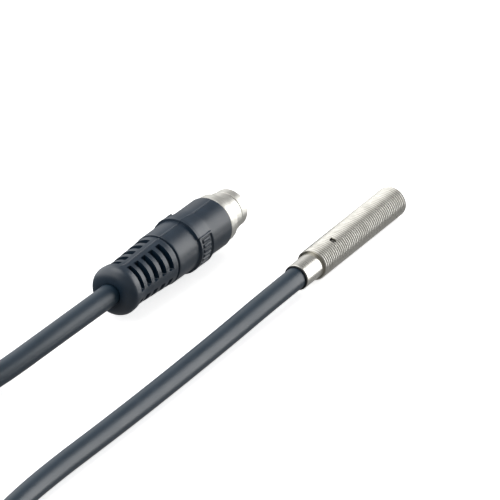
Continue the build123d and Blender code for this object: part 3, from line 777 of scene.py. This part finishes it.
# The sensor's barrel
@dataclass
class ThreadedBarrel:
    """The barrel: a helical thread, a smooth sleeve behind it, and the hole for the window.

    Sizes are in millimetres, along the axis from the sensing face backwards, and weld is in metres.
    """

    major_radius: float = 2.5
    pitch: float = 0.5
    depth: float = 0.2706
    crest_share: float = 0.125
    flank_share: float = 0.3125
    length: float = 25.0
    front_chamfer: float = 0.2
    rear_chamfer: float = 0.08
    bore: float = 1.9495
    sleeve_bore: float = 1.88
    sleeve_radius: float = 2.05
    sleeve_length: float = 4.7
    sleeve_edge: float = 0.07
    columns: int = 96
    rows_per_turn: int = 8
    window_from_face: float = 19.8
    window_radius: float = 0.55
    window_turn: float = math.radians(19.5)
    window_height: float = 2.15
    drill_from: float = 1.2
    drill_to: float = 4.0
    weld: float = 5e-7

    def window_place(self) -> Matrix:
        """Returns the move that stands the X axis up in the window's hole."""
        up = Vector((0.0, -math.sin(self.window_turn), math.cos(self.window_turn)))
        side = Vector((1.0, 0.0, 0.0))
        place = Matrix((up, side, up.cross(side))).transposed().to_4x4()
        place.translation = Vector((-self.window_from_face * MM, 0.0, 0.0))
        return place

    def blank(self) -> Mesh:
        """Turns the bore and the sleeve, open where the thread's skin goes."""
        rear = -self.length - self.sleeve_length
        edge = self.sleeve_edge
        outline = [(0.0, self.bore), (-self.length, self.bore)]
        outline += [(-self.length, self.sleeve_bore), (rear + edge, self.sleeve_bore)]
        arc = [(1 - math.sin(turn), 1 - math.cos(turn)) for turn in (step / 4 * math.pi / 2 for step in range(5))]
        outline += [(rear + edge * back * 0.6, self.sleeve_bore + edge * out * 0.6) for back, out in arc]
        outline += [(rear + edge * back, self.sleeve_radius - edge * out) for out, back in arc]
        outline += [(along, self.sleeve_radius) for along in (rear + edge + HOLD, -self.length - HOLD, -self.length)]
        rows = rings_about_axis(outline, full_turn(self.columns))
        return mesh_of_rings("barrel_blank", rows, Matrix(), closed=False)

    def inputs(self) -> dict[str, float | int]:
        """Returns the tree's named sizes, in metres, and its counts."""
        return {
            "Major Radius": self.major_radius * MM,
            "Thread Depth": self.depth * MM,
            "Pitch": self.pitch * MM,
            "Thread Length": self.length * MM,
            "Front Chamfer": self.front_chamfer * MM,
            "Rear Chamfer": self.rear_chamfer * MM,
            "Bore Radius": self.bore * MM,
            "Sleeve Radius": self.sleeve_radius * MM,
            "Rows Per Turn": float(self.rows_per_turn),
            "Columns": self.columns + 1,
            "Rows": (round(self.length / self.pitch) + 1) * self.rows_per_turn + 3,
        }

    def tree(self) -> tuple[NodeTree, dict[str, str]]:
        """Builds the tree that wraps the thread's skin round the blank.

        Returns:
            The tree, and each input's identifier by its name.
        """
        tree = bpy.data.node_groups.new("thread_skin", "GeometryNodeTree")
        tree.is_modifier = True
        kinds = {"Geometry": "Geometry"}
        kinds |= {label: "Int" if isinstance(value, int) else "Float" for label, value in self.inputs().items()}
        kinds["Metal"] = "Material"
        names = {}
        for label, kind in kinds.items():
            socket = tree.interface.new_socket(label, in_out="INPUT", socket_type=f"NodeSocket{kind}")
            names[label] = socket.identifier
        tree.interface.new_socket("Geometry", in_out="OUTPUT", socket_type="NodeSocketGeometry")
        board = Board(tree)
        given = board.add("NodeGroupInput").outputs
        calc = board.math
        grid = board.add("GeometryNodeMeshGrid", {"Vertices X": given["Columns"], "Vertices Y": given["Rows"]})
        position = board.add("GeometryNodeInputPosition").outputs[0]
        spot = board.add("ShaderNodeSeparateXYZ", {0: position}).outputs
        around = calc("ADD", spot[0], 0.5)
        last = calc("SUBTRACT", given["Rows"], 1.0)
        row = calc("ROUND", calc("MULTIPLY", calc("ADD", spot[1], 0.5), last))
        turns = calc("DIVIDE", calc("SUBTRACT", row, 1.0), given["Rows Per Turn"])
        free = calc("MULTIPLY", calc("ADD", calc("SUBTRACT", turns, 1.0), around), given["Pitch"])
        along = calc("MINIMUM", calc("MAXIMUM", free, 0.0), given["Thread Length"])
        phase = calc("FRACT", calc("ADD", calc("SUBTRACT", calc("DIVIDE", along, given["Pitch"]), around), 2.0))
        falling = calc("DIVIDE", calc("SUBTRACT", phase, self.crest_share), self.flank_share)
        rising = calc("DIVIDE", calc("SUBTRACT", 1.0, phase), self.flank_share)
        sunk = calc("MINIMUM", falling, rising, clamp=True)
        thread = calc("SUBTRACT", given["Major Radius"], calc("MULTIPLY", sunk, given["Thread Depth"]))
        front = calc("ADD", calc("SUBTRACT", given["Major Radius"], given["Front Chamfer"]), along)
        to_rear = calc("SUBTRACT", given["Thread Length"], along)
        rear = calc("ADD", calc("SUBTRACT", given["Major Radius"], given["Rear Chamfer"]), to_rear)
        skin = calc("MINIMUM", calc("MINIMUM", thread, front), rear)
        is_first = calc("LESS_THAN", row, 0.5)
        is_last = calc("GREATER_THAN", row, calc("SUBTRACT", last, 0.5))
        is_skin = calc("SUBTRACT", calc("SUBTRACT", 1.0, is_first), is_last)
        radius = calc("MULTIPLY_ADD", is_first, given["Bore Radius"], calc("MULTIPLY", is_skin, skin))
        radius = calc("MULTIPLY_ADD", is_last, given["Sleeve Radius"], radius)
        turn = calc("MULTIPLY", around, 2 * math.pi)
        place = board.add("ShaderNodeCombineXYZ", {
            0: calc("MULTIPLY", along, -1.0),
            1: calc("MULTIPLY", calc("MULTIPLY", radius, calc("SINE", turn)), -1.0),
            2: calc("MULTIPLY", radius, calc("COSINE", turn)),
        })
        skinned = {"Geometry": grid.outputs["Mesh"], "Position": place.outputs[0]}
        wrapped = board.add("GeometryNodeSetPosition", skinned)
        joined = board.add("GeometryNodeJoinGeometry", {0: given["Geometry"]})
        board.feed(joined, {0: wrapped.outputs[0]})
        close = {"Geometry": joined.outputs[0], "Distance": self.weld}
        merged = board.add("GeometryNodeMergeByDistance", close)
        real = board.add("GeometryNodeRealizeInstances", {0: merged.outputs[0]})
        metal = {"Geometry": real.outputs[0], "Material": given["Metal"]}
        painted = board.add("GeometryNodeSetMaterial", metal)
        board.add("NodeGroupOutput", {0: painted.outputs[0]})
        return tree, names

    def build(self) -> Object:
        """Cuts the thread, drills the window and makes the result a plain mesh."""
        maker = add_object("barrel_maker", self.blank())
        tree, names = self.tree()
        skin = maker.modifiers.new("thread", "NODES")
        skin.node_group = tree
        for label, value in self.inputs().items():
            skin[names[label]] = value
        skin[names["Metal"]] = BARREL_METAL.material()
        mesh = plain_mesh(maker, "threaded_barrel_body")
        maker.modifiers.remove(skin)
        tidy_mesh(mesh)
        maker.data = mesh
        hole = self.window_radius
        low, high = self.drill_from, self.drill_to
        rod = rings_about_axis([(low, 0.0), (low, hole), (high, hole), (high, 0.0)], full_turn(40))
        cutter = add_object("window_drill", mesh_of_rings("window_drill", rod, self.window_place()))
        drill = maker.modifiers.new("window", "BOOLEAN")
        drill.operation, drill.solver, drill.object = "DIFFERENCE", "EXACT", cutter
        drilled = plain_mesh(maker, "threaded_barrel_body")
        for helper in (maker, cutter):
            bpy.data.objects.remove(helper)
        return add_piece(drilled, BARREL_METAL, Shading.TURNED, "threaded_barrel")


def plain_mesh(maker: Object, name: str) -> Mesh:
    """Reads what an object's modifiers make, as a mesh of its own.

    Args:
        maker: The object with the modifiers.
        name: The new mesh's name.

    Returns:
        The plain mesh.
    """
    bpy.context.view_layer.update()
    shown = maker.evaluated_get(bpy.context.evaluated_depsgraph_get())
    mesh = bpy.data.meshes.new_from_object(shown)
    mesh.name = name
    return mesh


@dataclass
class SensorHead:
    """What is set in the barrel: the face, the window, the seal, and the coil and board inside.

    Sizes are in millimetres. The cap's face lies cap_recess behind the barrel's, and the seal ends in a wider lip.
    """

    barrel: ThreadedBarrel = field(default_factory=ThreadedBarrel)
    cap_recess: float = 0.004
    cap_gap: float = 0.02
    cap_wall: float = 0.2
    cap_thickness: float = 0.6
    cap_length: float = 2.7
    lens_foot: float = 0.94
    seal_bore: float = 1.752
    seal_radius: float = 1.876
    seal_length: float = 2.6
    lip_radius: float = 1.985
    lip_length: float = 0.25

    def build(self) -> None:
        """Builds the sensor's pieces from the front to the back."""
        self.barrel.build()
        self.build_face()
        self.build_window()
        self.build_seal()
        self.dress_inside()

    def build_face(self) -> None:
        """Turns the face cap, a cup with a skirt round the coil's core."""
        outer = self.barrel.bore - self.cap_gap
        inner = outer - self.cap_wall
        face, back, end = -self.cap_recess, -self.cap_thickness, -self.cap_length
        corners = [(face, 0.0, 0.0), (face, outer, 0.09), (end, outer, 0.05)]
        corners += [(end, inner, 0.05), (back, inner, 0.08), (back, 0.0, 0.0)]
        turned_piece("face_cap", corners, FACE_PLASTIC, "sensing_face_cap")

    def build_window(self) -> None:
        """Turns the light guide, with a low dome on its top."""
        radius, top, foot = self.barrel.window_radius - self.cap_gap, self.barrel.window_height, self.lens_foot
        corners = [(foot, 0.0, 0.0), (foot, radius, 0.0), (top - 0.16, radius, 0.1)]
        corners += [(top - 0.05, radius * 0.72, 0.1), (top, radius * 0.25, 0.08), (top, 0.0, 0.0)]
        place = self.barrel.window_place()
        turned_piece("window_lens", corners, LIGHT_GUIDE, "led_light_guide", place=place, columns=48)

    def build_seal(self) -> None:
        """Turns the black ring between the sleeve and the cable."""
        end = -self.barrel.length - self.barrel.sleeve_length
        front, tip = end + self.seal_length, end - self.lip_length
        bore, outer, lip = self.seal_bore, self.seal_radius, self.lip_radius
        corners = [(front, bore, 0.0), (front, outer, 0.0), (end, outer, 0.0)]
        corners += [(end, lip, 0.05), (tip, lip, 0.13), (tip, bore, 0.03)]
        turned_piece("cable_seal_ring", corners, SEAL_RUBBER, "cable_seal")

    def dress_inside(self) -> None:
        """Dresses the coil, the board and its parts, the resin and the cores."""
        wears = {
            "ferrite_core": FERRITE, "coil_bobbin": BOBBIN_PLASTIC, "coil_winding": WINDING_COPPER,
            "coil_leads": WINDING_COPPER, "circuit_board": BOARD_LAMINATE, "oscillator_chip": CHIP_BODY,
            "output_chip": CHIP_BODY, "board_passives": CHIP_CERAMIC, "indicator_led": LAMP_LENS,
            "solder_joints": SOLDER, "rear_potting": POTTING_RESIN,
        }
        wears |= {f"wire_{core.value}": finish for core, finish in CORE_FINISH.items()}
        for node, finish in wears.items():
            dress_node(node, finish)


# The plug
def soft_step(value: np.ndarray, edge: float, width: float) -> np.ndarray:
    """Returns 0 before an edge and 1 after it, eased over a width."""
    share = np.clip((value - edge) / width + 0.5, 0.0, 1.0)
    return share * share * (3.0 - 2.0 * share)


def between(value: np.ndarray, low: float, high: float, width: float) -> np.ndarray:
    """Returns 1 between two edges and 0 outside them, eased over a width."""
    return soft_step(value, low, width) * (1.0 - soft_step(value, high, width))


def from_centre(turn: np.ndarray, centre: float) -> np.ndarray:
    """Returns angles as they lie from a centre, between -180 and 180 degrees."""
    return (turn - centre + 180.0) % 360.0 - 180.0


def spaced(low: float, high: float, gap: float, edges: Sequence[float], reach: float) -> np.ndarray:
    """Places grid lines, close together at edges.

    Args:
        low: The first line.
        high: The last line.
        gap: The room between lines elsewhere.
        edges: Where a shape steps.
        reach: Half the width of the close lines.

    Returns:
        The lines in order.
    """
    close = [edge + reach * share for edge in edges for share in (-1.0, -0.6, -0.25, 0.25, 0.6, 1.0)]
    even = np.linspace(low, high, round((high - low) / gap) + 1)
    open_lines = [line for line in even if np.min(np.abs(np.array(close) - line)) > gap * 0.35]
    lines = np.unique(np.round([low, high, *open_lines, *close], 5))
    return lines[(lines >= low) & (lines <= high)]


@dataclass
class PlugGrip:
    """The soft moulding: a domed back, a slotted bend relief, thumb steps, side plates and a straight front.

    Sizes are in millimetres along the plug's axis from the cable exit, and angles in degrees from the top. A raised
    or sunk part climbs to its level over side_ease at its sides and end_ease at its ends.
    """

    exit_radius: float = 1.752
    rim_at: float = 1.63
    rim_radius: float = 4.03
    waist_at: float = 4.4
    waist_radius: float = 3.73
    relief_end: float = 12.895
    relief_radius: float = 4.08
    ring_groove: float = 0.3
    body_radius: float = 4.18
    body_end: float = 28.195
    front_edge: float = 0.25
    slot_rows: int = 5
    slot_columns: int = 4
    slot_first: float = 3.21
    slot_pitch: float = 1.99
    slot_width: float = 1.05
    slot_half_span: float = 33.5
    slot_floor: float = 2.35
    slot_rounding: float = 0.16
    slot_edge: float = 0.09
    step_at: float = 18.725
    step_land: float = 0.6
    ramp_end: float = 22.595
    step_height: float = 0.4
    step_half_span: float = 53.0
    plate_rear: float = 18.945
    plate_front: float = 22.495
    plate_half_span: float = 37.0
    plate_height: float = 0.36
    plate_border: float = 0.35
    plate_recess: float = 0.15
    rib_count: int = 6
    rib_half_span: float = 3.4
    rib_inset: float = 0.45
    parting_height: float = 0.03
    parting_width: float = 0.09
    parting_reach: float = 1.6
    side_ease: float = 1.4
    end_ease: float = 0.09
    core_at: float = 17.795
    core_radius: float = 3.09
    tail_at: float = 24.595
    tail_radius: float = 3.46

    def outline(self, along: np.ndarray) -> np.ndarray:
        """Gives the plain turned radius at each place along the axis."""
        dome_share = np.clip(1 - along / self.rim_at, 0.0, 1.0)
        dome = self.exit_radius + (self.rim_radius - self.exit_radius) * np.sqrt(1 - dome_share**2)
        ease = np.clip((along - self.rim_at) / (self.waist_at - self.rim_at), 0.0, 1.0)
        neck = self.waist_radius + (self.rim_radius - self.waist_radius) * (1 + np.cos(math.pi * ease)) / 2
        slope = (self.relief_radius - self.waist_radius) / (self.relief_end - self.waist_at)
        relief = self.waist_radius + slope * (along - self.waist_at)
        radius = np.where(along < self.rim_at, dome, np.where(along < self.waist_at, neck, relief))
        front = soft_step(along, self.relief_end + self.ring_groove / 2, 0.06)
        radius = radius * (1 - front) + self.body_radius * front
        end_share = np.clip((along - self.body_end + self.front_edge) / self.front_edge, 0.0, 1.0)
        radius = radius - self.front_edge * (1 - np.sqrt(1 - end_share**2))
        groove = between(along, self.relief_end, self.relief_end + self.ring_groove, 0.07)
        return radius - (self.ring_groove + 0.02) * groove

    def slots(self, along: np.ndarray, turn: np.ndarray) -> np.ndarray:
        """Gives 1 inside the relief's slots and 0 outside, with rounded slot ends."""
        cut = np.zeros(np.broadcast(along, turn).shape)
        radius, rounding = self.relief_radius - 0.15, self.slot_rounding
        for row in range(self.slot_rows):
            for column in range(self.slot_columns):
                sideways = np.abs(from_centre(turn, 45.0 + 90.0 * column))
                out_x = np.abs(along - self.slot_first - row * self.slot_pitch) - self.slot_width / 2 + rounding
                out_y = np.radians(sideways - self.slot_half_span) * radius + rounding
                corner = np.hypot(np.maximum(out_x, 0), np.maximum(out_y, 0))
                outside = corner + np.minimum(np.maximum(out_x, out_y), 0) - rounding
                cut = np.maximum(cut, 1.0 - soft_step(outside, 0.0, self.slot_edge))
        return cut

    def panel_half(self) -> float:
        """Returns half the angle of a side plate's sunk panel, in degrees."""
        return self.plate_half_span - math.degrees(self.plate_border / (self.body_radius + self.plate_height))

    def rib_middles(self) -> list[float]:
        """Returns the angle of each rib from the middle of its plate, in degrees."""
        return [(rib - (self.rib_count - 1) / 2) * self.panel_half() / 3.1 for rib in range(self.rib_count)]

    def side_plate(self, along: np.ndarray, turn: np.ndarray, radius: np.ndarray) -> np.ndarray:
        """Raises the two side plates, each a border round a sunk panel with plain ribs."""
        top, half, wide = self.body_radius + self.plate_height, self.panel_half(), self.rib_half_span
        for centre in (90.0, 270.0):
            sideways = from_centre(turn, centre)
            plate = between(sideways, -self.plate_half_span, self.plate_half_span, self.side_ease)
            plate = plate * between(along, self.plate_rear, self.plate_front, self.end_ease)
            rear, front = self.plate_rear + self.plate_border, self.plate_front - self.plate_border
            panel = between(sideways, -half, half, self.side_ease) * between(along, rear, front, self.end_ease)
            ribs = np.zeros_like(panel)
            lengthwise = between(along, rear + self.rib_inset, front - self.rib_inset, 0.12)
            for middle in self.rib_middles():
                ribs = np.maximum(ribs, between(sideways, middle - wide, middle + wide, 1.6) * lengthwise)
            level = top - self.plate_recess * 1.35 * panel + self.plate_recess * 1.1 * ribs
            radius = radius + (level - radius) * plate
        return radius

    def radius(self, along: np.ndarray, turn: np.ndarray) -> np.ndarray:
        """Gives the moulding's radius everywhere.

        Args:
            along: Places along the axis, as a column.
            turn: Angles from the top, as a row.

        Returns:
            The radius at each place and angle.
        """
        radius = self.outline(along) + 0 * turn
        ramp = np.clip((self.ramp_end - along) / (self.ramp_end - self.step_at - self.step_land), 0.0, 1.0)
        rise = self.step_height * ramp * soft_step(along, self.step_at, self.end_ease)
        for centre in (0.0, 180.0):
            sideways = from_centre(turn, centre)
            radius = radius + rise * between(sideways, -self.step_half_span, self.step_half_span, self.side_ease)
            ridge = np.exp(-((np.radians(sideways) * self.body_radius / self.parting_width) ** 2))
            whole = between(along, self.rim_at + 0.6, self.body_end - self.front_edge, 0.3)
            radius = radius + self.parting_height * (2.2 - 1.2 * rise / self.step_height) * ridge * whole
        radius = self.side_plate(along, turn, radius)
        cut = self.slots(along, turn)
        return radius + (self.slot_floor - radius) * cut

    def lines(self) -> tuple[np.ndarray, np.ndarray]:
        """Returns the grid's places along the axis and its angles."""
        edges = [self.relief_end, self.relief_end + self.ring_groove, self.step_at]
        for row in range(self.slot_rows):
            edges += [self.slot_first + row * self.slot_pitch + side * self.slot_width / 2 for side in (-1, 1)]
        for inwards in (0.0, self.plate_border, self.plate_border + self.rib_inset):
            edges += [self.plate_rear + inwards, self.plate_front - inwards]
        along = spaced(self.rim_at, self.body_end - self.front_edge, 0.36, edges, 0.045)
        dome = self.rim_at * (1 - np.cos(np.linspace(0, math.pi / 2, 15)))[:-1]
        nose = self.body_end - self.front_edge * (1 - np.sin(np.linspace(0, math.pi / 2, 8)))[1:]
        spans = [(45.0 + 90.0 * column, self.slot_half_span) for column in range(self.slot_columns)]
        for centre in (0.0, 180.0):
            spans += [(centre, span) for span in (self.step_half_span, self.parting_reach, 0.0)]
        for centre in (90.0, 270.0):
            spans += [(centre, self.panel_half())]
            spans += [(centre + middle, self.rib_half_span) for middle in self.rib_middles()]
        turns = [centre + side * span for centre, span in spans for side in (-1, 1)]
        around = spaced(0.0, 360.0, 3.0, [edge % 360.0 for edge in turns], 0.75)
        return np.concatenate([dome, along, nose]), around[around < 359.99]

    def build(self, place: Matrix) -> Object:
        """Shapes the moulding as one closed grid, its inside following the core and the shell's tail.

        Args:
            place: The move from the plug's axis to the frame.

        Returns:
            The piece.
        """
        along, turn = self.lines()
        outside = self.radius(along[:, None], turn[None, :])
        angle = np.radians(turn)
        inside = [
            (self.body_end, self.tail_radius), (self.tail_at, self.tail_radius), (self.tail_at, self.core_radius),
            (self.core_at, self.core_radius), (self.core_at, self.exit_radius), (1.0, self.exit_radius),
        ]
        rows = np.stack([along[:, None] + 0 * outside, -outside * np.sin(angle), outside * np.cos(angle)], axis=2)
        mesh = mesh_of_rings("grip_moulding", np.concatenate([rows, rings_about_axis(inside, angle)]), place)
        return add_piece(mesh, GRIP_MOULD, Shading.MOULDED, "plug_grip")


@dataclass
class Plug:
    """The round plug on the cable's end.

    Attributes:
        length: From the cable exit to the shell's mouth, in millimetres.
        roll: How far it lies turned about its axis, in degrees.
        grip: Its soft moulding.
        pins: Each contact's number and angle from the top, in degrees.
        pin_circle: The circle that the contacts stand on, in millimetres.
    """

    length: float = 34.245
    roll: float = 7.0
    grip: PlugGrip = field(default_factory=PlugGrip)
    pins: tuple[tuple[int, float], ...] = ((1, -30.0), (3, 210.0), (4, 90.0))
    pin_circle: float = 3.2

    def place(self) -> Matrix:
        """Reads the plug's place from its contacts' mount.

        Returns:
            The move from the plug's own axis, with the cable exit at 0, to the frame.
        """
        mount = next(one for one in frame["record"]["mounts"] if one["name"] == "plug_contacts")
        axis = Vector(mount["axis"]).normalized()
        start = Vector(mount["pos_m"]) - axis * self.length * MM
        heading = math.atan2(axis.y, axis.x)
        roll = Matrix.Rotation(math.radians(self.roll), 4, "X")
        return Matrix.Translation(start) @ Matrix.Rotation(heading, 4, "Z") @ roll

    def build(self) -> list[Object]:
        """Builds the plug from the grip to the contacts.

        Returns:
            Every piece that is on the cable.
        """
        place = self.place()
        pieces = [self.grip.build(place), self.build_shell(place), *self.build_pins(place)]
        wears = {"crimp_ferrule": FERRULE_METAL, "plug_core": CORE_PLASTIC, "contact_carrier": CARRIER_PLASTIC}
        wears |= {f"plug_wire_{core.value}": finish for core, finish in CORE_FINISH.items()}
        for node, finish in wears.items():
            dress_node(node, finish)
        return pieces + [frame["nodes"][node] for node in wears]

    def build_shell(self, place: Matrix) -> Object:
        """Turns and places the metal shell: tail, flange, latching ring and nose, with grooves between."""
        corners = [
            (24.595, 2.8, 0.0), (24.595, 3.45, 0.1), (25.795, 3.45, 0.05), (25.795, 3.08, 0.05),
            (26.995, 3.08, 0.05), (26.995, 3.45, 0.05), (28.33, 3.45, 0.04), (28.33, 3.93, 0.16),
            (30.145, 3.93, 0.24), (30.145, 2.92, 0.06), (30.445, 2.92, 0.06), (30.445, 3.27, 0.14),
            (32.445, 3.27, 0.14), (32.445, 2.92, 0.06), (32.745, 2.92, 0.06), (32.745, 3.09, 0.08),
            (34.245, 3.09, 0.16), (34.245, 2.8, 0.07),
        ]
        return turned_piece("shell_turning", corners, SHELL_METAL, "plug_shell", place=place, columns=160)

    def build_pins(self, place: Matrix) -> list[Object]:
        """Turns the contacts, with round tips just inside the shell's mouth.

        Args:
            place: The move from the plug's axis to the frame.

        Returns:
            The contacts.
        """
        made = []
        for number, turn in self.pins:
            angle = math.radians(turn)
            aside = Vector((0.0, -math.sin(angle), math.cos(angle))) * self.pin_circle / 2 * MM
            spot = place @ Matrix.Translation(aside)
            name, node = f"contact_{number}", f"contact_pin_{number}"
            corners = [(18.995, 0.0, 0.0), (18.995, 0.5, 0.06), (33.245, 0.5, 0.48), (33.245, 0.0, 0.0)]
            made.append(turned_piece(name, corners, CONTACT_GOLD, node, place=spot, columns=32))
        return made


def main() -> None:
    """Builds the view, the cable, the plug, the sensor and the studio, in that order."""
    logging.basicConfig(level=logging.INFO, format="%(name)s: %(message)s")
    bpy.context.scene.view_settings.view_transform = "Standard"
    ProductCamera().build()
    pigtail = PigtailCable()
    cable = pigtail.build()
    on_it = Plug().build()
    head = SensorHead()
    head.build()
    Studio().build()


if __name__ == "__main__":
    main()
